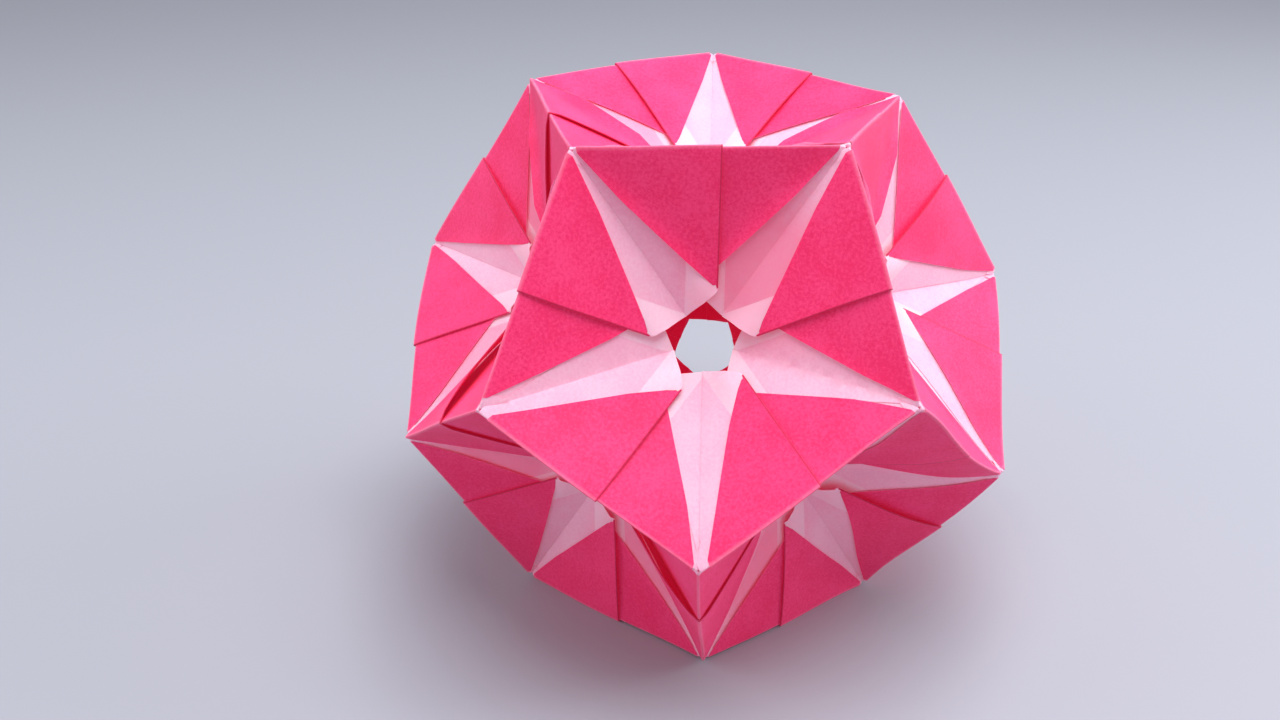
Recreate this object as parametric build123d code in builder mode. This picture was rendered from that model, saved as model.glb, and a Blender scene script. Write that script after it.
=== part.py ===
"""A kusudama: a ball of thirty folded paper sheets, hooked together along the edges of a
dodecahedron, so that each of its twelve five-sided faces sinks to a star with a hole in it.

Every sheet is folded the same way. Its body is a ridge with two sloping wings, white side out.
At both ends the sheet is folded back over the body as a coloured flap, and the two flaps overlap
at the middle of the ridge. The upper flap is folded under again at its end, as a white lining that
spreads to the valley folds and covers the corner of the lower flap. On each wing one long edge of
the body runs on over the valley fold as a tab, and that tab is held in the pocket between the next
sheet's body and its flap.

Millimetres, Z up. The origin is on the ground, under the centre of the ball.
"""
import os
from math import atan, cos, radians, sin, sqrt, tan

from build123d import *

# Driving dimensions
edge = 50.0  # one ridge of the ball, from point to point
dimple_depth = 18.0  # how far the middle of each face lies below its five points
paper = 0.15  # thickness of the sheet
layer_gap = 0.1  # air between two layers that lie on each other
flap_angle = radians(45)  # between the ridge and the long edge of a flap
seam_shift = 2.5  # how far each flap reaches past the middle of the ridge
tip_cut = 1.5  # how far short of the ball's point the sheet is folded back
tab_start = 4.0  # from the ball's point to the start of a tab, along the valley
tab_tuck = 2.5  # how far the corner of a tab reaches in under the next flap
tab_inset = 0.3  # how far that corner stays behind the flap's end
valley_clearance = 0.1  # between a wing or lining without a tab and the middle of the valley
end_inset = 0.5  # how far a wing ends short of the tab that lies on it

# Which flap of each sheet lies on top: 0 at its first end, 1 at its second
crown_over = (1, 0, 0, 0, 0)
upper_over = (1, 0, 1, 0, 0)
waist_left_over = (0, 1, 0, 0, 0)
waist_right_over = (1, 0, 1, 1, 1)
lower_over = (0, 1, 1, 1, 1)
base_over = (0, 1, 0, 1, 0)

# The dodecahedron
golden = (1 + sqrt(5)) / 2
fifth = radians(72)
half_dihedral = atan(golden)
face_radius = edge / (2 * sin(fifth / 2))
face_apothem = edge / (2 * tan(fifth / 2))
middle_radius = edge * golden**2 / 2
face_height = middle_radius * sin(half_dihedral)
belt_radius = face_radius * golden
belt_height = sqrt((edge * sqrt(3) * golden / 2) ** 2 - belt_radius**2)

# One sloping wing, from the ridge to the sunken middle of the face
wing_slope = atan(dimple_depth / face_apothem)
half_ridge = half_dihedral - wing_slope
valley_angle = atan(sqrt(face_apothem**2 + dimple_depth**2) / (edge / 2))
flap_length = (edge / 2 + seam_shift) / cos(flap_angle)

# Heights on a wing of the layers of paper above the body
layer = paper + layer_gap
under_flap = 2 * layer
lining_height = 3 * layer
over_flap = 4 * layer
stack = over_flap + paper
ridge_reach = 2 * stack / tan(half_ridge)

# The ball rests on the raised ridges of its lowest face
centre_height = face_height + stack / sin(half_ridge) * sin(half_dihedral)


def crossing(start, along, other, other_along):
    """Where two lines on a wing meet, each given by a point and a direction."""
    turn = along.X * other_along.Y - along.Y * other_along.X
    apart = other - start
    return start + along * ((apart.X * other_along.Y - apart.Y * other_along.X) / turn)


def at_other_end(place):
    """The same place or direction, seen from the other end of the ridge."""
    return Vector(-place.X, place.Y)


# A wing's plane has X along the ridge, Y down the wing and Z out of the ball
wing_plane = Plane((0, 0, 0), x_dir=(1, 0, 0), z_dir=(0, cos(half_ridge), sin(half_ridge)))

# Lines on the wing at its left end, where the body runs on as a tab
ball_point = Vector(-edge / 2, 0)
valley = Vector(cos(valley_angle), sin(valley_angle))
off_valley = Vector(sin(valley_angle), -cos(valley_angle))
flap_edge = Vector(cos(flap_angle), sin(flap_angle))
end_edge = Vector(-sin(flap_angle), cos(flap_angle))
down = Vector(0, 1)
flap_corner = ball_point + flap_edge * flap_length
tip = ball_point + Vector(tip_cut, 0)
flap_tip = tip + down * (tip_cut * tan(flap_angle))

# The tab is turned over at a fold that lies off the valley, because it climbs one layer
face_out = Vector(0, cos(half_dihedral), sin(half_dihedral))
face_in = Vector(0, sin(half_dihedral), -cos(half_dihedral))
to_middle = Vector(sin(fifth), 0, 0) + face_in * cos(fifth)
next_wing_out = face_out * cos(wing_slope) + to_middle * sin(wing_slope)
valley_turn = radians(wing_plane.z_dir.get_angle(next_wing_out))
fold_shift = layer / sin(valley_turn)
fold_point = ball_point + off_valley * fold_shift
past_fold = fold_point - off_valley * (2 * fold_shift)
fold_plane = Plane(
    wing_plane.from_local_coords(fold_point),
    z_dir=wing_plane.z_dir - next_wing_out,
)

# Corners of the body on the wing
clear_line = at_other_end(ball_point + off_valley * valley_clearance)
inset_corner = at_other_end(flap_corner - flap_edge * end_inset)
body_outline = [
    tip - down * ridge_reach,
    at_other_end(tip) - down * ridge_reach,
    crossing(at_other_end(tip), down, clear_line, at_other_end(valley)),
    crossing(inset_corner, at_other_end(end_edge), clear_line, at_other_end(valley)),
    crossing(inset_corner, at_other_end(end_edge), flap_corner, end_edge),
    crossing(flap_corner, end_edge, past_fold, valley),
    crossing(tip, down, past_fold, valley),
]

# Corners of the tab, before it is turned over the valley
tucked_corner = flap_corner - flap_edge * tab_tuck - end_edge * tab_tuck - Vector(tab_inset, 0)
tab_outline = [
    past_fold + valley * tab_start,
    fold_point + valley * tab_start + off_valley * fold_shift,
    tucked_corner,
    flap_corner,
    crossing(flap_corner, end_edge, past_fold, valley),
]

# Corners of the lining under the upper flap, which stays clear of the next sheet's lining
lining_clear = ball_point + off_valley * (
    valley_clearance + (lining_height + paper) * tan(valley_turn / 2)
)
lining_start = tip + Vector(layer, 0)
lining_outline = [
    lining_start - down * ridge_reach,
    Vector(seam_shift, 0) - down * ridge_reach,
    flap_corner,
    crossing(flap_corner, end_edge, lining_clear, valley),
    crossing(lining_start, down, lining_clear, valley),
]

# The tab, before it is turned over the valley
with BuildPart() as tab:
    with BuildSketch(wing_plane):
        with BuildLine():
            Polyline(tab_outline, close=True)
        make_face()
    extrude(amount=paper)
    split(bisect_by=fold_plane, keep=Keep.BOTTOM)

# One wing of the body, with its tab
with BuildPart() as wing:
    with BuildSketch(wing_plane):
        with BuildLine():
            Polyline(body_outline, close=True)
        make_face()
    extrude(amount=paper)
    split(bisect_by=Plane.XZ, keep=Keep.BOTTOM)
    split(bisect_by=fold_plane, keep=Keep.BOTTOM)
    mirror(tab.part, about=fold_plane)


def half_flap(height):
    """Half of a flap, on one wing at the left end, and the fold that joins it to the body."""
    seam = Vector(seam_shift, 0)
    with BuildPart() as half:
        with BuildSketch(wing_plane.offset(height)):
            with BuildLine():
                Polyline(
                    tip - down * ridge_reach,
                    seam - down * ridge_reach,
                    flap_corner,
                    flap_tip,
                    close=True,
                )
            make_face()
        extrude(amount=paper)
        with BuildSketch(wing_plane):
            with BuildLine():
                Polyline(
                    tip - down * ridge_reach,
                    tip + Vector(paper, 0) - down * ridge_reach,
                    flap_tip + Vector(paper, 0),
                    flap_tip,
                    close=True,
                )
            make_face()
        extrude(amount=height + paper)
        split(bisect_by=Plane.XZ, keep=Keep.BOTTOM)
    return half.part


# Half of the lining, with the fold at the flap's end that joins it to the upper flap
with BuildPart() as lining:
    with BuildSketch(wing_plane.offset(lining_height)):
        with BuildLine():
            Polyline(lining_outline, close=True)
        make_face()
    extrude(amount=paper)
    with BuildSketch(wing_plane.offset(lining_height)):
        with BuildLine():
            Polyline(
                Vector(seam_shift - paper, 0) - down * ridge_reach,
                Vector(seam_shift, 0) - down * ridge_reach,
                flap_corner,
                flap_corner - flap_edge * (paper / cos(flap_angle)),
                close=True,
            )
        make_face()
    extrude(amount=layer + paper)
    split(bisect_by=Plane.XZ, keep=Keep.BOTTOM)

upper_flap = half_flap(over_flap) + lining.part
lower_flap = mirror(half_flap(under_flap), about=Plane.YZ)

# The whole folded sheet, with its ridge along X and its upper flap at the left end
with BuildPart() as sheet:
    add(wing.part)
    add(wing.part, rotation=(0, 0, 180))
    add(upper_flap)
    mirror(upper_flap, about=Plane.XZ)
    add(lower_flap)
    mirror(lower_flap, about=Plane.XZ)


def corner(ring, number):
    """A point of the ball: the crown ring, the two belts and the base ring have five each."""
    radius = belt_radius if "belt" in ring else face_radius
    height = belt_height if "belt" in ring else face_height
    high = ring in ("crown", "upper belt")
    turn = radians(18 if high else 54) + fifth * number
    return Vector(radius * cos(turn), radius * sin(turn), centre_height + (height if high else -height))


def place_sheet(name, first, second, over):
    """Lay one sheet along the edge between two points of the ball, and write it."""
    if over == 1:
        first, second = second, first
    middle = (first + second) / 2
    outward = middle - Vector(0, 0, centre_height)
    with BuildPart() as placed:
        with Locations(Plane(middle, x_dir=second - first, z_dir=outward)):
            add(sheet.part)
    placed.part.label = name
    export_step(placed.part, f"parts/{name}.step")


os.makedirs("parts", exist_ok=True)
for number in range(5):
    crown, next_crown = corner("crown", number), corner("crown", number + 1)
    upper = corner("upper belt", number)
    lower, lower_before = corner("lower belt", number), corner("lower belt", number - 1)
    base, next_base = corner("base", number), corner("base", number + 1)
    place_sheet(f"crown_sheet_{number + 1}", crown, next_crown, crown_over[number])
    place_sheet(f"upper_sheet_{number + 1}", crown, upper, upper_over[number])
    place_sheet(f"left_waist_sheet_{number + 1}", upper, lower, waist_left_over[number])
    place_sheet(f"right_waist_sheet_{number + 1}", upper, lower_before, waist_right_over[number])
    place_sheet(f"lower_sheet_{number + 1}", lower, base, lower_over[number])
    place_sheet(f"base_sheet_{number + 1}", base, next_base, base_over[number])
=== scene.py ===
"""Looks of a kusudama: thirty sheets of duo paper, pink on one side and white on the other.

One folded sheet is modelled once, with its ridge along X and its outside up. A copy goes onto each
edge of the ball, its upper flap gapes as far as that seam does, and then the whole ball is bent a
little, all layers alike, because a ball folded by hand is never quite even.
"""
import math

import bpy
import numpy as np
from mathutils import Matrix, Vector


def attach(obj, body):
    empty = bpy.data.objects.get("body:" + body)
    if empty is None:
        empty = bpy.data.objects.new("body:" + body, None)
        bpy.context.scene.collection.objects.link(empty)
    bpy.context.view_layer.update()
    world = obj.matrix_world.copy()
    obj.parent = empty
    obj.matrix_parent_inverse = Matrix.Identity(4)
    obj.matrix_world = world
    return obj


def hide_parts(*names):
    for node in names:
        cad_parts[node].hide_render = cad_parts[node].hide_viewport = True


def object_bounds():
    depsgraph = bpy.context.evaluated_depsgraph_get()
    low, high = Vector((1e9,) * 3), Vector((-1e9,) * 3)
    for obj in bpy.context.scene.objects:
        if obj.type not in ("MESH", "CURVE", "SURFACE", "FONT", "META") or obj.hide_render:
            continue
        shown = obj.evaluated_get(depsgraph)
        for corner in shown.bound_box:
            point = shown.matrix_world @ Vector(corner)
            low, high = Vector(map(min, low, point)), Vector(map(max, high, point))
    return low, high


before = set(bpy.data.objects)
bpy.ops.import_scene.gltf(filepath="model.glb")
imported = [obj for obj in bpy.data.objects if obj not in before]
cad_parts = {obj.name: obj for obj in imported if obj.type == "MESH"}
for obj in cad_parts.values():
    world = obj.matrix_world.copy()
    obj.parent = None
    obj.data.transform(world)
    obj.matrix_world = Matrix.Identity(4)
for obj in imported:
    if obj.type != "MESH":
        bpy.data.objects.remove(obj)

cad_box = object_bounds()
MM = 0.001

# The ball, as the frame has it
EDGE = 50 * MM  # one ridge, from point to point
DIMPLE_DEPTH = 18 * MM  # how far the middle of a face lies below its five points
# The paper has its real thickness here, so its layers lie closer than the solids' do
LAYER = 0.14 * MM
PAPER = 0.09 * MM
FLAP_ANGLE = math.radians(45)  # between a ridge and the leg of a flap
SEAM_SHIFT = 2.5 * MM  # how far a flap reaches past the middle of its ridge
TAB_START = 1.2 * MM  # from the ball's point to the start of a tab, along the valley
TAB_TUCK = 2.5 * MM  # how far a tab's corner reaches in under the next flap
TAB_INSET = 0.3 * MM  # how far that corner stays behind the flap's end
VALLEY_CLEARANCE = 0.1 * MM  # between a wing without a tab and the middle of the valley
END_INSET = 0.5 * MM  # how far a wing ends short of the tab that lies on it
# Heights above the body of the layers that lie on it
UNDER_FLAP = 2 * LAYER
LINING = 3 * LAYER
OVER_FLAP = 4 * LAYER
SOLID_STACK = 1.15 * MM  # thickness of all the layers as the solids have it

GOLDEN = (1 + math.sqrt(5)) / 2
FIFTH = math.radians(72)
HALF_DIHEDRAL = math.atan(GOLDEN)
FACE_RADIUS = EDGE / (2 * math.sin(FIFTH / 2))
FACE_APOTHEM = EDGE / (2 * math.tan(FIFTH / 2))
FACE_HEIGHT = EDGE * GOLDEN**2 / 2 * math.sin(HALF_DIHEDRAL)
BELT_RADIUS = FACE_RADIUS * GOLDEN
BELT_HEIGHT = math.sqrt((EDGE * math.sqrt(3) * GOLDEN / 2) ** 2 - BELT_RADIUS**2)
WING_SLOPE = math.atan(DIMPLE_DEPTH / FACE_APOTHEM)
HALF_RIDGE = HALF_DIHEDRAL - WING_SLOPE
VALLEY_ANGLE = math.atan(math.hypot(FACE_APOTHEM, DIMPLE_DEPTH) / (EDGE / 2))
FLAP_LENGTH = (EDGE / 2 + SEAM_SHIFT) / math.cos(FLAP_ANGLE)
CENTRE = Vector((0, 0, (cad_box[0][2] + cad_box[1][2]) / 2))
CENTRE_PLACE = np.array(CENTRE)
# The whole ball is this much larger, so that its outer layers lie where the solids' do
SWELL = 1 + (SOLID_STACK - OVER_FLAP - PAPER) / (FACE_HEIGHT * math.cos(WING_SLOPE))

# Sizes that only show close up
SAME_PLACE = 0.001 * MM  # two places that are nearer than this are one
WELD = 0.01 * MM  # panels that meet within this are joined
CELL = 2 * MM  # grid that the paper is cut from
GRID_CELLS = 40  # along each side of that grid
RIDGE_ROUNDING = 0.4 * MM  # from a ridge to where its wings are flat
KNOT = 0.25 * MM  # from the ball's point to the rolled white end of a sheet
OVER_END = 0.6 * MM  # how much of the rolled end shows before the upper flap starts
UNDER_END = 0.9 * MM  # the same at the lower flap
LONG_END = 2 * MM  # the same at either flap of a sheet that was folded less exactly
LONG_OVER_ENDS = ("left_waist_sheet_4", "right_waist_sheet_5")
LONG_UNDER_ENDS = ("upper_sheet_4",)
LEG_SLANT = 12 * MM  # over this length from the ball's point a flap's leg leaves the kite wider
LONG_SLANT = 28 * MM  # the same at a long end
HIDDEN_END = 1 * MM  # how far a layer goes on under the flap that covers it
ROLL_SIDE = 0.6 * MM  # half the width of a rolled end at the ball's point
ROLL_SPREAD = 1.3  # and how fast it widens away from there
BLUNT_END = 0.5 * MM  # the corners of a flap are cut off by this much
BLUNT_SIDE = 0.3 * MM
FOLD_RADIUS = 0.025 * MM  # of the fold at the end of the upper flap
CREASE = 0.427 * EDGE  # from the ball's point to the crease that the folding left across a kite
FACET_TILT = 0.28  # slope of the paper past that crease
LEG_HOLD = 1.5 * MM  # the slope dies away within this distance of a flap's leg
VALLEY_HOLD = 4 * MM  # and within this distance of the valley
DROOP = 3 * MM  # the lining comes down to the tab within this distance of the valley
LINING_LOW = 2 * LAYER - 0.03 * MM  # height of the lining there
LINING_CLEARANCE = 0.02 * MM  # between it and the next sheet's lining, across the valley
LEG_LIFT = 0.3 * MM  # how far the free leg of a flap stands off the kite beside it
SPRUNG_LEGS = {"crown_sheet_3": 2 * MM, "crown_sheet_4": 0.8 * MM, "crown_sheet_5": 2 * MM}
LEG_BAND = 4 * MM  # how much of a flap bends up to its leg
LEG_FREE = 10 * MM  # down the wing, from the ridge to where the leg stands off in full
LEG_HELD = 27 * MM  # along the ridge, from the ball's point to where a neighbour holds the flap
HOLD_BLEND = 6 * MM  # how far before that place the leg comes down
# Seams whose upper flap springs open further than SOFT_FOLD
SOFT_FOLDS = {"crown_sheet_3": 0.4 * MM, "right_waist_sheet_4": 0.5 * MM,
              "lower_sheet_4": 0.4 * MM}
SOFT_FOLD = 0.1 * MM  # how far the upper flap's fold springs open at its end
SOFT_REACH = 2.5 * MM  # from the ridge to where a sprung fold is flat
GAPE_REACH = 16 * MM  # from the ridge to where a seam gapes in full
LINING_REACH = 9 * MM  # past a flap's leg, the lining comes down within this distance
LEG_MARGIN = 1.02  # the leg itself still gapes in full
BACK_HOLE = 1.5 * MM  # how much wider the hole is that daylight comes in by, at the back
BACK_HOLE_REACH = 13 * MM

# Which flap lies on top: 0 at the sheet's first end, 1 at its second
OVER = {
    "crown_sheet": (1, 0, 0, 0, 0),
    "upper_sheet": (1, 0, 1, 0, 0),
    "left_waist_sheet": (0, 1, 0, 0, 0),
    "right_waist_sheet": (1, 0, 1, 1, 1),
    "lower_sheet": (0, 1, 1, 1, 1),
    "base_sheet": (0, 1, 0, 1, 0),
}

# How far the end of the upper flap stands off the lower one on each wing, in millimetres
GAPE = {
    "crown_sheet": ((0.9, 0.9), (0.6, 0.6), (0.4, 0.8), (0.8, 0.8), (0.3, 0.3)),
    "upper_sheet": ((1.1, 1.1), (0.4, 0.4), (1.1, 1.1), (0.5, 0.5), (0.6, 0.6)),
    "left_waist_sheet": ((0.3, 0.3), (0.4, 0.4), (0.3, 0.3), (0.7, 0.7), (0.3, 0.3)),
    "right_waist_sheet": ((0.5, 0.5), (0.3, 0.3), (0.3, 0.3), (2.2, 0.3), (0.7, 0.7)),
    "lower_sheet": ((0.4, 0.4), (0.3, 0.3), (0.3, 0.3), (2.0, 0.2), (1.5, 1.5)),
    "base_sheet": ((0.2, 0.2), (0.2, 0.2), (0.9, 0.9), (0.4, 0.4), (0.2, 0.2)),
}

# How far each point of the ball is off its even place, in millimetres
POINT_MOVES = {
    ("crown", 0): (-0.7, -0.3, -1.9), ("crown", 1): (-0.2, -0.1, -0.4),
    ("crown", 2): (1.3, 0.3, 0.3), ("crown", 3): (0.3, -0.2, -0.8),
    ("crown", 4): (-0.1, 0.3, 1.0), ("upper belt", 0): (0.6, -1.0, -2.2),
    ("upper belt", 2): (0.5, 0.6, 1.2), ("upper belt", 3): (-0.1, -0.4, -0.7),
    ("upper belt", 4): (-1.5, 1.4, 2.0), ("lower belt", 2): (1.4, -0.1, -0.9),
    ("lower belt", 3): (0.4, 0.4, 0.5), ("lower belt", 4): (-1.8, -1.7, -3.9),
    ("base", 2): (0.6, 1.1, 0), ("base", 3): (1.7, 2.6, 0), ("base", 4): (-1.9, 3.2, 0),
}
POINT_REACH = 18 * MM
# How far the middle of a ridge is off its straight place, in millimetres
RIDGE_MOVES = {"left_waist_sheet_5": (-1.3, -0.8, -1.5)}
RIDGE_REACH = 12 * MM
FACE_SINK = 1.5 * MM  # how much deeper the lower right face is at its middle
SINK_PLACE = 0.7  # of the way from the ball's centre to the flat face
SINK_REACH = 10 * MM
DENT_PLACE = (32, -32, -10)  # on the same face, from the ball's centre, in millimetres
DENT_MOVE = (-3.2, 0.3, 1.2)
DENT_REACH = 9 * MM
PRESSED = 1 * MM  # the ball's weight presses all that lies lower than this flat
PRESSED_BLEND = 12 * MM
# Kites painted pink as painted light, for the red light that bounces within the ball onto them in
# the shade: the middle from the ball's centre in millimetres, and how far their white turns to pink
PAINTED_BOUNCE_KITES = [
    ((12, -35, 33), 0.7), ((-36, 1.5, 36), 0.8), ((-20, 6.5, 47), 0.6), ((-49, -16, 2), 0.5),
    ((-10, -35, -36), 0.8), ((10, -35, -36), 0.8), ((-42.5, -24, -15), 0.8),
]
PAINTED_BOUNCE_CORE = 8 * MM  # the pink is full within this distance of the middle
PAINTED_BOUNCE_REACH = 20 * MM  # and gone at this one
# Slow waves of the paper: length and height in millimetres, direction, and start
WAVES = [
    (61, 0.25, (0.3, 0.8, 0.5), 0.4), (47, 0.2, (-0.7, 0.2, 0.7), 2.1),
    (38, 0.14, (0.9, -0.4, 0.1), 4.0), (33, 0.1, (0.1, 0.6, -0.8), 5.2),
]


def select_only(*objects):
    """Deselect everything, then select these, with the first one active."""
    if bpy.context.object and bpy.context.object.mode != "OBJECT":
        bpy.ops.object.mode_set(mode="OBJECT")
    bpy.ops.object.select_all(action="DESELECT")
    for each in objects:
        each.select_set(True)
    bpy.context.view_layer.objects.active = objects[0]


def flat(x, y):
    """A place on the flat wing: X along the ridge, Y down the wing."""
    return Vector((x, y, 0))


def crossing(start, along, other, other_along):
    """Where two lines on the wing meet, each given by a point and a direction."""
    turn = along.x * other_along.y - along.y * other_along.x
    apart = other - start
    return start + along * ((apart.x * other_along.y - apart.y * other_along.x) / turn)


def at_other_end(place):
    """The same place or direction, seen from the other end of the ridge."""
    return Vector((-place.x, place.y, place.z))


# Lines on the wing at its left end, where the body runs on as a tab
ball_point = flat(-EDGE / 2, 0)
valley = flat(math.cos(VALLEY_ANGLE), math.sin(VALLEY_ANGLE))
off_valley = flat(math.sin(VALLEY_ANGLE), -math.cos(VALLEY_ANGLE))
flap_edge = flat(math.cos(FLAP_ANGLE), math.sin(FLAP_ANGLE))
end_edge = flat(-math.sin(FLAP_ANGLE), math.cos(FLAP_ANGLE))
down = flat(0, 1)
flap_corner = ball_point + flap_edge * FLAP_LENGTH

# From the flat wing to the sheet's own space, with its ridge along X and its outside up
wing_down = Vector((0, math.sin(HALF_RIDGE), -math.cos(HALF_RIDGE)))
wing_out = Vector((0, math.cos(HALF_RIDGE), math.sin(HALF_RIDGE)))
to_wing = Matrix((Vector((1, 0, 0)), wing_down, wing_out)).transposed().to_4x4()

# The fold of the tab
face_out = Vector((0, math.cos(HALF_DIHEDRAL), math.sin(HALF_DIHEDRAL)))
face_in = Vector((0, math.sin(HALF_DIHEDRAL), -math.cos(HALF_DIHEDRAL)))
to_middle = Vector((math.sin(FIFTH), 0, 0)) + face_in * math.cos(FIFTH)
next_wing_out = face_out * math.cos(WING_SLOPE) + to_middle * math.sin(WING_SLOPE)
valley_turn = wing_out.angle(next_wing_out)
fold_point = ball_point + off_valley * (LAYER / math.sin(valley_turn))
fold_normal = (wing_out - next_wing_out).normalized()
across = Matrix.Scale(-1, 4, (0, 1, 0))
half_turn = Matrix.Rotation(math.pi, 4, "Z")


def cut_panel(name, corners, height, curl=None, scores=(), from_right=False, slope=None, grain=(),
              creased=False):
    """Cut a panel of paper out of a grid along straight lines, and stand it on the wing.

    The UV map keeps each place on the flat sheet, counted from the ball's point in lengths of the
    ridge. A curl takes a place along X and a height and gives both back, rolled, and a slope adds
    to the height. Scores and grain are extra cuts, across the ridge and along a line, that let the
    panel follow them, and a crease is one that stays sharp.
    """
    crease = CREASE - EDGE / 2
    bpy.ops.mesh.primitive_grid_add(
        x_subdivisions=GRID_CELLS, y_subdivisions=GRID_CELLS, size=GRID_CELLS * CELL,
        location=(0, GRID_CELLS * CELL / 4, 0))
    panel = bpy.context.object
    panel.name = name
    select_only(panel)
    bpy.ops.object.transform_apply(location=True, rotation=False, scale=False)
    bpy.ops.object.mode_set(mode="EDIT")
    for start, end in zip(corners, corners[1:] + corners[:1]):
        bpy.ops.mesh.select_all(action="SELECT")
        side = Vector((end.y - start.y, start.x - end.x, 0)).normalized()
        bpy.ops.mesh.bisect(plane_co=start, plane_no=side, clear_outer=True, threshold=SAME_PLACE)
    for score in [*scores, crease] if creased else scores:
        bpy.ops.mesh.select_all(action="SELECT")
        bpy.ops.mesh.bisect(plane_co=flat(score, 0), plane_no=(1, 0, 0), threshold=SAME_PLACE)
    for place, along in grain:
        bpy.ops.mesh.select_all(action="SELECT")
        bpy.ops.mesh.bisect(plane_co=place, plane_no=(along.y, -along.x, 0), threshold=SAME_PLACE)
    bpy.ops.object.mode_set(mode="OBJECT")
    mesh = panel.data
    if creased:
        for edge in mesh.edges:
            edge.use_edge_sharp = all(abs(mesh.vertices[v].co.x - crease) < SAME_PLACE
                                      for v in edge.vertices)
    for layer in list(mesh.uv_layers):
        mesh.uv_layers.remove(layer)
    sheet_map = mesh.uv_layers.new(name="flat_sheet")
    for loop in mesh.loops:
        place = mesh.vertices[loop.vertex_index].co
        along = EDGE / 2 - place.x if from_right else place.x + EDGE / 2
        sheet_map.data[loop.index].uv = (along / EDGE, place.y / EDGE)
    for vertex in mesh.vertices:
        x, y, rise = vertex.co.x, vertex.co.y, height
        if curl:
            x, rise = curl(x, height)
        if slope:
            rise += slope(x, y)
        if abs(y) < SAME_PLACE:
            y = -rise / math.tan(HALF_RIDGE)
        vertex.co = to_wing @ Vector((x, y, rise))
    return panel


def roll(start, radius, way):
    """A curl that starts at a place along X: up and back at the ball's point, or down at a seam."""
    def rolled(x, height):
        past = (x - start) * (1 if way == "down" else -1)
        if past <= 0:
            return x, height
        angle = min(past / radius, math.pi)
        reach = radius * math.sin(angle) - max(0, past - math.pi * radius)
        rise = radius * (1 - math.cos(angle))
        return (start + reach, height - rise) if way == "down" else (start - reach, height + rise)
    return rolled


def join(name, *panels):
    """Join panels to one sheet, welded where they meet."""
    select_only(*panels)
    if len(panels) > 1:
        bpy.ops.object.join()
    joined = bpy.context.object
    joined.name = name
    bpy.ops.object.mode_set(mode="EDIT")
    bpy.ops.mesh.select_all(action="SELECT")
    bpy.ops.mesh.remove_doubles(threshold=WELD)
    bpy.ops.object.mode_set(mode="OBJECT")
    return joined


def copy_of(panel, matrix=Matrix()):
    """A copy of a panel, moved or mirrored in its mesh."""
    twin = panel.copy()
    twin.data = panel.data.copy()
    bpy.context.collection.objects.link(twin)
    twin.data.transform(matrix)
    if matrix.determinant() < 0:
        twin.data.flip_normals()
    return twin


def round_ridge(panel):
    """Round the fold along the ridge, because folded paper is never quite sharp."""
    select_only(panel)
    bpy.ops.object.mode_set(mode="EDIT")
    bpy.ops.mesh.select_mode(type="EDGE")
    bpy.ops.mesh.select_all(action="DESELECT")
    bpy.ops.object.mode_set(mode="OBJECT")
    for edge in panel.data.edges:
        edge.select = all(abs(panel.data.vertices[v].co.y) < WELD / 2 for v in edge.vertices)
    bpy.ops.object.mode_set(mode="EDIT")
    bpy.ops.mesh.bevel(offset=RIDGE_ROUNDING, segments=3, affect="EDGES", clamp_overlap=False)
    bpy.ops.mesh.select_mode(type="VERT")
    bpy.ops.object.mode_set(mode="OBJECT")


def both_wings(name, half):
    """Mirror a half over the ridge, and round its ridge."""
    whole = join(name, half, copy_of(half, across))
    round_ridge(whole)
    return whole


# Cuts beside the ridge, where a fold springs open
RIDGE_GRAIN = [(flat(0, SOFT_REACH * part), flat(1, 0)) for part in (0.3, 0.5, 0.7, 1)]
OVER_ROLL = (LINING - PAPER) / 2
UNDER_ROLL = (UNDER_FLAP - 2 * PAPER) / 2
over_start = -EDGE / 2 + KNOT + OVER_ROLL + PAPER
under_start = -EDGE / 2 + KNOT + UNDER_ROLL + PAPER


def facet(x, y, leg_angle, way):
    """How far the paper past a kite's crease springs up, between a flap's leg and the valley."""
    place = flat(x, y) - ball_point
    from_leg = way * place.dot(flat(-math.sin(leg_angle), math.cos(leg_angle)))
    from_valley = way * place.dot(off_valley)
    held = min(1, max(0, from_leg / LEG_HOLD)) * min(1, max(0, from_valley / VALLEY_HOLD))
    return FACET_TILT * max(0, place.x - CREASE) * held


def make_body():
    """The white body: two wings that meet at the ridge, each with a tab turned over the valley."""
    clear_line = at_other_end(ball_point + off_valley * VALLEY_CLEARANCE)
    inset_corner = at_other_end(flap_corner - flap_edge * END_INSET)
    notch = crossing(inset_corner, at_other_end(end_edge), flap_corner, end_edge)
    wings = []
    for left_start, right_start in ((over_start, under_start), (under_start, over_start)):
        start, stop = flat(left_start, 0), flat(-right_start, 0)
        left = cut_panel("left", [
            start, flat(notch.x, 0), notch,
            crossing(flap_corner, end_edge, fold_point, valley),
            crossing(start, down, fold_point, valley)], 0)
        right = cut_panel("right", [
            flat(notch.x, 0), stop,
            crossing(stop, down, clear_line, at_other_end(valley)),
            crossing(inset_corner, at_other_end(end_edge), clear_line, at_other_end(valley)),
            notch], 0, from_right=True)
        tab = cut_panel("tab", [
            fold_point + valley * TAB_START,
            flap_corner - flap_edge * TAB_TUCK - end_edge * TAB_TUCK - flat(TAB_INSET, 0),
            flap_corner,
            crossing(flap_corner, end_edge, fold_point, valley)], 0, creased=True,
            slope=lambda x, y: facet(x, y, 2 * VALLEY_ANGLE - FLAP_ANGLE, -1))
        fold = to_wing @ fold_point
        tab.data.transform(Matrix.Translation(fold) @ Matrix.Scale(-1, 4, fold_normal)
                           @ Matrix.Translation(-fold))
        tab.data.flip_normals()
        wing = join("wing", left, right, tab)
        wings.append(wing)
    wings[1].data.transform(half_turn)
    body = join("body", *wings)
    round_ridge(body)
    return body


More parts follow.
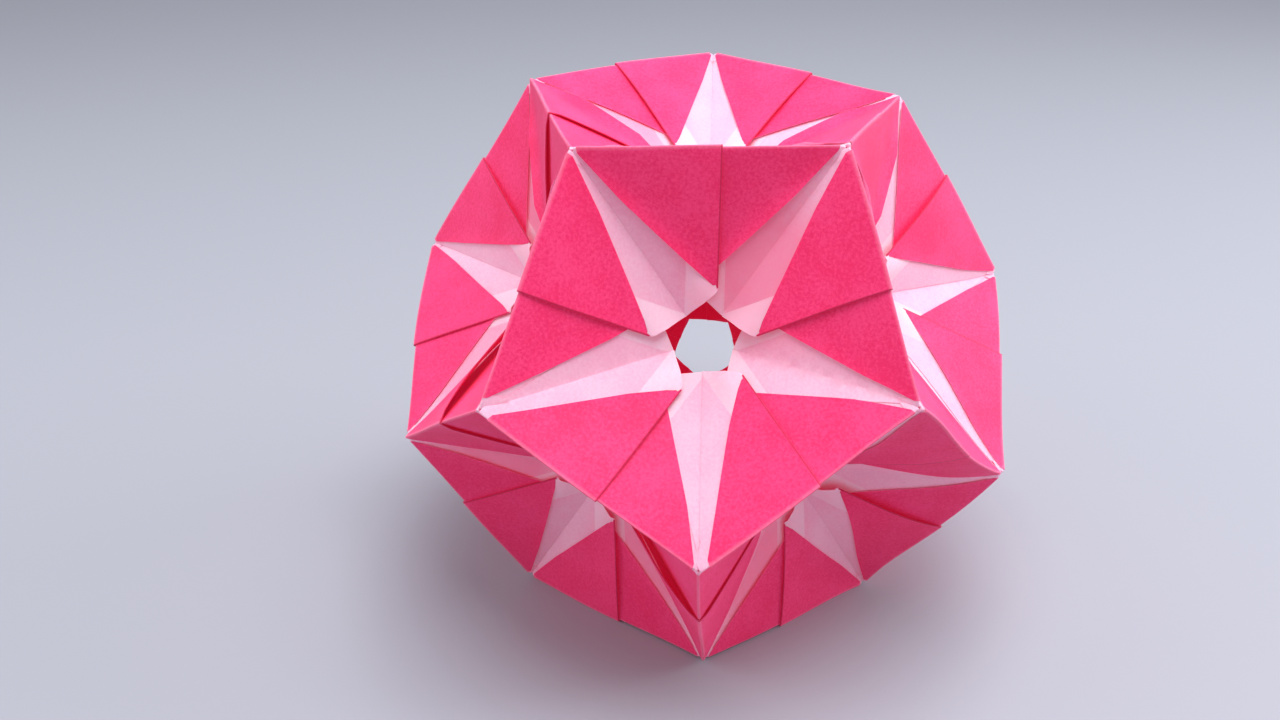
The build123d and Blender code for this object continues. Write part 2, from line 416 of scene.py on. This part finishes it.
def make_flap(name, height, rolled, shown):
    """A pink flap over both wings at the left end, its seam end folded under if it lies on top."""
    start = -EDGE / 2 + KNOT + shown
    seam = SEAM_SHIFT
    curl, scores = None, ()
    if rolled:
        fold = SEAM_SHIFT - FOLD_RADIUS - PAPER
        curl = roll(fold, FOLD_RADIUS, "down")
        seam = fold + math.pi * FOLD_RADIUS
        scores = [fold + math.pi * FOLD_RADIUS * step / 4 for step in range(4)]
    slant = LONG_SLANT if shown == LONG_END else LEG_SLANT
    leg_corner = flap_corner + flap_edge * ((seam - SEAM_SHIFT) / math.cos(FLAP_ANGLE))
    half = cut_panel(name, [
        flat(start, 0), flat(seam, 0), leg_corner - down * BLUNT_END,
        leg_corner - flap_edge * BLUNT_SIDE,
        ball_point + flap_edge * slant,
        flat(start + BLUNT_SIDE, BLUNT_END)],
        height, curl, scores,
        grain=[(ball_point - end_edge * LEG_BAND * part, flap_edge) for part in (0.1, 0.3, 0.6)]
        + RIDGE_GRAIN)
    return both_wings(name, half)


def make_lining(shown):
    """The white end of the upper flap, folded under it and spread over the kites to the valleys."""
    clear = ball_point + off_valley * (
        (LINING_LOW + PAPER) * math.tan(valley_turn / 2) + LINING_CLEARANCE)
    start = flat(-EDGE / 2 + KNOT + shown + HIDDEN_END, 0)

    def droop(x, y):
        from_valley = (flat(x, y) - ball_point).dot(off_valley)
        sunk = (LINING_LOW - LINING) * max(0, 1 - from_valley / DROOP) ** 2
        return sunk + facet(x, y, FLAP_ANGLE, 1)

    stop = SEAM_SHIFT - FOLD_RADIUS - PAPER
    half = cut_panel("lining", [
        start, flat(stop, 0), flat(stop, flap_corner.y),
        crossing(flap_corner, end_edge, clear, valley),
        crossing(start, down, clear, valley)], LINING, slope=droop, creased=True,
        grain=[(clear + off_valley * DROOP * part, valley) for part in (0.2, 0.45, 0.7, 1)]
        + RIDGE_GRAIN)
    return both_wings("lining", half)


def make_rolled_end(name, start, radius, shown):
    """The end of the body, rolled up and back at the ball's point, where its white side shows."""
    length = math.pi * radius + shown + HIDDEN_END
    scores = [start - math.pi * radius * step / 6 for step in range(1, 7)]
    half = cut_panel(name, [
        flat(start - length, 0), flat(start, 0), flat(start, ROLL_SIDE),
        flat(start - length, ROLL_SIDE + ROLL_SPREAD * (shown + HIDDEN_END))],
        PAPER, roll(start, radius, "up"), scores)
    whole = both_wings(name, half)
    whole.data.flip_normals()
    return whole


def add_node(tree, kind, links=(), **settings):
    """Add a node with its settings, and link its inputs from other nodes' outputs."""
    node = tree.nodes.new(kind)
    for name, value in settings.items():
        if hasattr(node, name):
            setattr(node, name, value)
        else:
            node.inputs[name.replace("_", " ")].default_value = value
    for name, output in links:
        tree.links.new(output, node.inputs[name])
    return node


def linear(code):
    """The linear colour of an sRGB hex value."""
    parts = [int(code[i:i + 2], 16) / 255 for i in (1, 3, 5)]
    return [p / 12.92 if p <= 0.04045 else ((p + 0.055) / 1.055) ** 2.4 for p in parts] + [1]


def paper(name, deep, pale, roughness, glow, painted_red_glow=0.04, folded=False, creased=False):
    """Craft paper: matt fibres pressed flat, mottled where the dye took unevenly.

    Folded paper also gets a pale worn line along its ridge and a painted shade line at its seam,
    and creased paper gets painted bounce light on some kites, a pale crease line and a painted
    highlight past the crease. The UV map gives the folds' places in lengths of the ridge, and every
    paper has a painted red glow.
    """
    material = bpy.data.materials.new(name)
    material.use_nodes = True
    tree = material.node_tree
    shader = tree.nodes["Principled BSDF"]
    shader.inputs["Roughness"].default_value = roughness
    # Uncoated fibres shine little
    shader.inputs["Specular IOR Level"].default_value = 0.2
    # Thin paper lets light through, and spreads it over half a millimetre
    shader.inputs["Subsurface Weight"].default_value = glow
    shader.inputs["Subsurface Radius"].default_value = (1, 0.4, 0.5)
    shader.inputs["Subsurface Scale"].default_value = 0.5 * MM
    # Painted glow: an emission stands in for daylight that passes the thin sheets from all sides,
    # and reddens their shaded places
    shader.inputs["Emission Color"].default_value = linear("#FF3070")
    shader.inputs["Emission Strength"].default_value = painted_red_glow
    # Loose fibres catch the light where the paper is seen at a slant
    shader.inputs["Sheen Weight"].default_value = 0.06
    shader.inputs["Sheen Roughness"].default_value = 0.6
    shader.inputs["Sheen Tint"].default_value = linear("#FFE6F5")
    place = add_node(tree, "ShaderNodeTexCoord").outputs["Object"]
    # The fibres' clouds are about 0.6 mm across, and the dye varies less, over about 9 mm
    fibres = add_node(tree, "ShaderNodeTexNoise", [("Vector", place)],
                      Scale=1 / (0.6 * MM), Detail=3.0, Roughness=0.75)
    dye = add_node(tree, "ShaderNodeTexNoise", [("Vector", place)], Scale=1 / (9 * MM), Detail=1.0)
    mixed = add_node(tree, "ShaderNodeMath", [(0, dye.outputs["Fac"]), (2, fibres.outputs["Fac"])],
                     operation="MULTIPLY_ADD")
    mixed.inputs[1].default_value = 0.4
    mottle = add_node(tree, "ShaderNodeMapRange", [("Value", mixed.outputs[0])],
                      From_Min=0.57, From_Max=0.83)
    colour = add_node(tree, "ShaderNodeMix", [(0, mottle.outputs[0])], data_type="RGBA")
    colour.inputs[6].default_value = linear(deep)
    colour.inputs[7].default_value = linear(pale)
    grain = add_node(tree, "ShaderNodeBump", [("Height", fibres.outputs["Fac"])],
                     Strength=0.5, Distance=0.04 * MM)
    sheet_map = add_node(tree, "ShaderNodeUVMap", uv_map="flat_sheet")
    split = add_node(tree, "ShaderNodeSeparateXYZ", [(0, sheet_map.outputs[0])])
    tints = []
    if folded:
        # The dye cracks a little along the ridge, and a pale line shows there
        worn = add_node(tree, "ShaderNodeMapRange", [("Value", split.outputs["Y"])],
                        From_Min=0.1 * MM / EDGE, From_Max=0.4 * MM / EDGE, To_Min=0.2, To_Max=0.0)
        # Painted shade: the crease at the flap's end is painted darker, for the shade it lies in
        past_end = add_node(tree, "ShaderNodeMath", [(0, split.outputs["X"])],
                            operation="SUBTRACT")
        past_end.inputs[1].default_value = 0.5 + (SEAM_SHIFT - PAPER) / EDGE
        off_end = add_node(tree, "ShaderNodeMath", [(0, past_end.outputs[0])],
                           operation="ABSOLUTE")
        shade = add_node(tree, "ShaderNodeMapRange", [("Value", off_end.outputs[0])],
                         From_Min=0.1 * MM / EDGE, From_Max=0.3 * MM / EDGE, To_Min=0.75,
                         To_Max=0.0)
        tints += [(worn, "#FFC4DA"), (shade, "#A8103C")]
    if creased:
        # Painted light: kites in the shade are painted pink, for the red light that bounces within
        # the ball onto them
        for middle, strength in PAINTED_BOUNCE_KITES:
            apart = add_node(tree, "ShaderNodeVectorMath", [(0, place)], operation="DISTANCE")
            apart.inputs[1].default_value = CENTRE + Vector(middle) * MM
            painted_bounce = add_node(tree, "ShaderNodeMapRange", [("Value", apart.outputs["Value"])],
                             From_Min=PAINTED_BOUNCE_CORE, From_Max=PAINTED_BOUNCE_REACH, To_Min=strength, To_Max=0.0)
            tints.append((painted_bounce, "#FC7A9C"))
        # Pressed fibres shine pale along the crease across each kite
        past_crease = add_node(tree, "ShaderNodeMath", [(0, split.outputs["X"])],
                               operation="SUBTRACT")
        past_crease.inputs[1].default_value = CREASE / EDGE
        off_crease = add_node(tree, "ShaderNodeMath", [(0, past_crease.outputs[0])],
                              operation="ABSOLUTE")
        line = add_node(tree, "ShaderNodeMapRange", [("Value", off_crease.outputs[0])],
                        From_Min=0.05 * MM / EDGE, From_Max=0.15 * MM / EDGE, To_Min=0.2,
                        To_Max=0.0)
        # Painted highlight: beyond it the paper is painted whiter, where the facet tilts up to the
        # light
        painted_facet_light = add_node(tree, "ShaderNodeMapRange", [("Value", past_crease.outputs[0])],
                            From_Min=0.0, From_Max=0.2 * MM / EDGE, To_Min=0.0, To_Max=0.35)
        tints += [(line, "#FFFFFF"), (painted_facet_light, "#FAE3EE")]
    result = colour.outputs[2]
    for amount, code in tints:
        tinted = add_node(tree, "ShaderNodeMix", [(0, amount.outputs[0]), (6, result)],
                          data_type="RGBA")
        tinted.inputs[7].default_value = linear(code)
        result = tinted.outputs[2]
    tree.links.new(result, shader.inputs["Base Color"])
    tree.links.new(grain.outputs[0], shader.inputs["Normal"])
    return material


# The dyed side: a matt, slightly cloudy pink
pink = paper("pink_duo_paper", "#EE2763", "#F83F7A", 0.6, glow=0.4, folded=True)
# The dye shows from the back of the thin sheet, so its white side has a tint of it; much of that
# pink is painted light, for the red that bounces within the ball, and it has a painted red glow
white = paper("white_duo_paper", "#F1A9C3", "#F5B7CD", 0.7, glow=0.6, painted_red_glow=0.06, creased=True)
# The dyed side where it faces into the ball or a pocket: the pink painted deeper as painted shade,
# with a stronger painted red glow for the daylight that reaches into the ball
painted_inside = paper("pink_duo_paper_inside_painted_shade_and_glow", "#F0225C", "#F63268", 0.6, glow=0.9, painted_red_glow=0.09)
# Cut edges show the white core between dyed fibres, as a fine pale pink line
cut = paper("cut_paper_edge", "#F080A5", "#F795B4", 0.8, glow=0.25)
# Each side of a sheet is followed by the side behind it, and three further on by its cut edge
SIDES = (pink, white, painted_inside, cut, cut)


def give_thickness(panel, first):
    """Give a panel the thickness of paper. Its outer side is the first one's place in SIDES."""
    select_only(panel)
    for material in SIDES:
        panel.data.materials.append(material)
    for face in panel.data.polygons:
        face.material_index = first
    solid = panel.modifiers.new("thickness", "SOLIDIFY")
    solid.thickness = PAPER
    solid.offset = 1
    solid.use_even_offset = True
    solid.material_offset = 1
    solid.material_offset_rim = 3
    bpy.ops.object.modifier_apply(modifier=solid.name)
    bpy.ops.object.shade_smooth_by_angle(angle=math.radians(40))
    return panel


def make_over_parts(shown):
    """The rolled end, the upper flap and its lining, with so much of the rolled end in sight."""
    return [give_thickness(make_rolled_end("over_end", over_start, OVER_ROLL, shown), 1),
            give_thickness(make_flap("over_flap", OVER_FLAP, True, shown), 0),
            give_thickness(make_lining(shown), 1)]


def make_under_parts(shown):
    """The lower flap and the rolled end before it, in the same way, at the sheet's other end."""
    under_parts = [make_flap("under_flap", UNDER_FLAP, False, shown),
                   make_rolled_end("under_end", under_start, UNDER_ROLL, shown)]
    for part, side in zip(under_parts, (0, 1)):
        part.data.transform(half_turn)
        give_thickness(part, side)
    return under_parts


body = give_thickness(make_body(), 1)
over_parts, long_over_parts = make_over_parts(OVER_END), make_over_parts(LONG_END)
under_parts, long_under_parts = make_under_parts(UNDER_END), make_under_parts(LONG_END)


def corner(ring, number):
    """A point of the ball: the crown ring, the two belts and the base ring have five each."""
    radius = BELT_RADIUS if "belt" in ring else FACE_RADIUS
    height = BELT_HEIGHT if "belt" in ring else FACE_HEIGHT
    high = ring in ("crown", "upper belt")
    turn = math.radians(18 if high else 54) + FIFTH * number
    rise = height if high else -height
    return CENTRE + Vector((radius * math.cos(turn), radius * math.sin(turn), rise))


def read_places(mesh):
    """The places of a mesh's vertices, one row each."""
    places = np.empty(len(mesh.vertices) * 3)
    mesh.vertices.foreach_get("co", places)
    return places.reshape(-1, 3)


def write_places(mesh, places):
    """Move a mesh's vertices to these places."""
    mesh.vertices.foreach_set("co", places.reshape(-1))
    mesh.update()


def down_wing(places):
    """How far each place of a sheet lies from the ridge, along its wing."""
    return abs(places[:, 1]) * math.sin(HALF_RIDGE) - places[:, 2] * math.cos(HALF_RIDGE)


def lift_off_wing(places, lift):
    """Move places square to the wing that they lie on."""
    places[:, 1] += lift * np.sign(places[:, 1]) * math.cos(HALF_RIDGE)
    places[:, 2] += lift * math.sin(HALF_RIDGE)


def lift_legs(mesh, amount, end):
    """Bend the free legs of a flap up off the kites, all but the corners that a neighbour holds."""
    places = read_places(mesh)
    along = EDGE / 2 + end * places[:, 0]
    side = down_wing(places)
    bend = np.clip(1 - (along - side) / math.sqrt(2) / LEG_BAND, 0, 1) ** 2
    free = np.clip((LEG_HELD - along) / HOLD_BLEND, 0, 1) * np.clip(side / LEG_FREE, 0, 1)
    lift_off_wing(places, amount * bend * free)
    write_places(mesh, places)


def gape(mesh, amounts, softness):
    """Lift the seam end of the upper flap and its lining off the sheet, most at the end itself.

    A soft fold also springs open there, to a round one.
    """
    places = read_places(mesh)
    amount = np.where(places[:, 1] > 0, amounts[0], amounts[1]) * MM
    along = np.clip((places[:, 0] + EDGE / 2) / (EDGE / 2 + SEAM_SHIFT), 0, 1)
    side = down_wing(places)
    beyond_leg = np.clip((side - (places[:, 0] + EDGE / 2) * LEG_MARGIN) / LINING_REACH, 0, 1)
    opening = np.clip(side / GAPE_REACH, 0, 1)
    sprung = np.clip(side / SOFT_REACH, 0, 1)
    rounding = softness * along**5 * sprung * (2 - sprung) * (1 - opening)
    gaping = amount * along**2.5 * (1 - beyond_leg) * opening * (2 - opening)
    lift_off_wing(places, gaping + rounding)
    write_places(mesh, places)


def near(places, point, reach):
    """A weight for each place: one at a point, falling off smoothly around it."""
    return np.exp(-((places - np.array(point)) ** 2).sum(axis=1) / (2 * reach**2))[:, None]


# Directions from the ball's centre to its back face, and to the face at the lower right
BACK_FACE = Vector((0, math.sin(2 * HALF_DIHEDRAL), math.cos(2 * HALF_DIHEDRAL)))
SUNK_FACE = Matrix.Rotation(-math.pi + FIFTH / 2, 3, "Z") @ BACK_FACE


def bend_ball(places):
    """Bend the ball the way that folding hands leave it."""
    places = CENTRE_PLACE + (places - CENTRE_PLACE) * SWELL
    shift = np.zeros_like(places)
    for (ring, number), move in POINT_MOVES.items():
        shift += near(places, corner(ring, number), POINT_REACH) * np.array(move) * MM
    for node, move in RIDGE_MOVES.items():
        shift += near(places, middles[node], RIDGE_REACH) * np.array(move) * MM
    for length, height, direction, start in WAVES:
        towards = np.array(Vector(direction).normalized())
        phase = places @ towards * (2 * math.pi / (length * MM)) + start
        outward = (places - CENTRE_PLACE) / np.linalg.norm(places - CENTRE_PLACE, axis=1)[:, None]
        shift += np.sin(phase)[:, None] * outward * height * MM
    back = np.array(BACK_FACE)
    aside = places - CENTRE_PLACE
    aside -= (aside @ back)[:, None] * back
    from_axis = np.linalg.norm(aside, axis=1)[:, None]
    around_hole = np.where((places - CENTRE_PLACE) @ back > 0, 1.0, 0.0)[:, None]
    widening = np.exp(-(from_axis / BACK_HOLE_REACH) ** 2) * aside / from_axis * BACK_HOLE
    shift += around_hole * widening
    sunk_place = CENTRE + SUNK_FACE * FACE_HEIGHT * SINK_PLACE
    shift -= near(places, sunk_place, SINK_REACH) * np.array(SUNK_FACE) * FACE_SINK
    shift += near(places, CENTRE + Vector(DENT_PLACE) * MM, DENT_REACH) * np.array(DENT_MOVE) * MM
    # Its weight presses the lowest ridges flat on the ground
    low = np.clip(1 - (places[:, 2] - PRESSED) / PRESSED_BLEND, 0, 1)
    shift[:, 2] *= 1 - low
    return places + shift


def place_sheet(group, number, first, second):
    """Lay a copy of the sheet along one edge of the ball, in place of its solid."""
    node = f"{group}_{number + 1}"
    middles[node] = (first + second) / 2
    if OVER[group][number] == 1:
        first, second = second, first
    middle = (first + second) / 2
    along = (second - first).normalized()
    outward = (middle - CENTRE).normalized()
    place = Matrix((along, outward.cross(along), outward)).transposed().to_4x4()
    under = long_under_parts if node in LONG_UNDER_ENDS else under_parts
    over = long_over_parts if node in LONG_OVER_ENDS else over_parts
    copies = [copy_of(part) for part in (body, *under, *over)]
    _, under_flap, _, _, over_flap, lining = copies
    leg_lift = SPRUNG_LEGS.get(node, LEG_LIFT)
    lift_legs(under_flap.data, leg_lift, -1)
    lift_legs(over_flap.data, leg_lift, 1)
    for gaping in (over_flap, lining):
        gape(gaping.data, GAPE[group][number], SOFT_FOLDS.get(node, SOFT_FOLD))
    select_only(*copies)
    bpy.ops.object.join()
    piece = bpy.context.object
    piece.data.transform(Matrix.Translation(middle) @ place)
    piece.name = f"paper_{node}"
    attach(piece, "root")
    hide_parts(node)
    return piece


middles = {}
pieces = []
for number in range(5):
    pieces += [
        place_sheet("crown_sheet", number, corner("crown", number), corner("crown", number + 1)),
        place_sheet("upper_sheet", number, corner("crown", number), corner("upper belt", number)),
        place_sheet("left_waist_sheet", number, corner("upper belt", number),
                    corner("lower belt", number)),
        place_sheet("right_waist_sheet", number, corner("upper belt", number),
                    corner("lower belt", number - 1)),
        place_sheet("lower_sheet", number, corner("lower belt", number), corner("base", number)),
        place_sheet("base_sheet", number, corner("base", number), corner("base", number + 1)),
    ]
bent = [bend_ball(read_places(piece.data)) for piece in pieces]
drop = min(places[:, 2].min() for places in bent)
for piece, places in zip(pieces, bent):
    places[:, 2] -= drop
    write_places(piece.data, places)
for part in (body, *over_parts, *long_over_parts, *under_parts, *long_under_parts):
    bpy.data.objects.remove(part)


def plain(name, code):
    """A matt painted board."""
    material = bpy.data.materials.new(name)
    material.use_nodes = True
    shader = material.node_tree.nodes["Principled BSDF"]
    shader.inputs["Base Color"].default_value = linear(code)
    shader.inputs["Roughness"].default_value = 0.8
    return material


# Softboxes: place and size in metres, and energy in watts
LAMPS = {
    "top_softbox": ((0.1, -0.1, 0.85), 0.6, 8),
    "left_softbox": ((-0.75, -0.1, 0.35), 0.5, 1.5),
    "right_softbox": ((0.75, 0.15, 0.35), 0.5, 3.5),
}
DAYLIGHT = 0.65  # strength of the even light from all around
# The camera: its place from the ball's centre in ridge lengths, its directions, and its lens
STAND = (0.0430, -5.0531, 2.4277)
FORWARD = (-0.0601, 0.8937, -0.4447)
UPWARD = (-0.0293, 0.4437, 0.8957)
LENS = 34.6
SENSOR = 36


def make_stage():
    """Pale floor, soft light from above and both sides, and the camera in front and above."""
    bpy.ops.mesh.primitive_plane_add(size=6)
    floor = bpy.context.object
    floor.name = "floor"
    floor.data.materials.append(plain("floor", "#9EA0AB"))
    world = bpy.data.worlds.new("studio")
    bpy.context.scene.world = world
    world.use_nodes = True
    world.node_tree.nodes["Background"].inputs["Color"].default_value = linear("#F4F6FB")
    world.node_tree.nodes["Background"].inputs["Strength"].default_value = DAYLIGHT
    for name, (place, size, energy) in LAMPS.items():
        bpy.ops.object.light_add(type="AREA", location=place)
        lamp = bpy.context.object
        lamp.name = name
        lamp.data.energy = energy
        lamp.data.size = size
        lamp.rotation_euler = (CENTRE - lamp.location).to_track_quat("-Z", "Y").to_euler()
    bpy.ops.object.camera_add()
    camera = bpy.context.object
    camera.name = "camera"
    forward = Vector(FORWARD).normalized()
    right = forward.cross(Vector(UPWARD)).normalized()
    turned = Matrix((right, right.cross(forward), -forward)).transposed().to_4x4()
    stand = CENTRE + Vector(STAND) * EDGE - Vector((0, 0, drop))
    camera.matrix_world = Matrix.Translation(stand) @ turned
    camera.data.lens = LENS
    camera.data.sensor_width = SENSOR
    camera.data.clip_start = 0.01
    bpy.context.scene.camera = camera
    bpy.context.scene.view_settings.view_transform = "Standard"


make_stage()
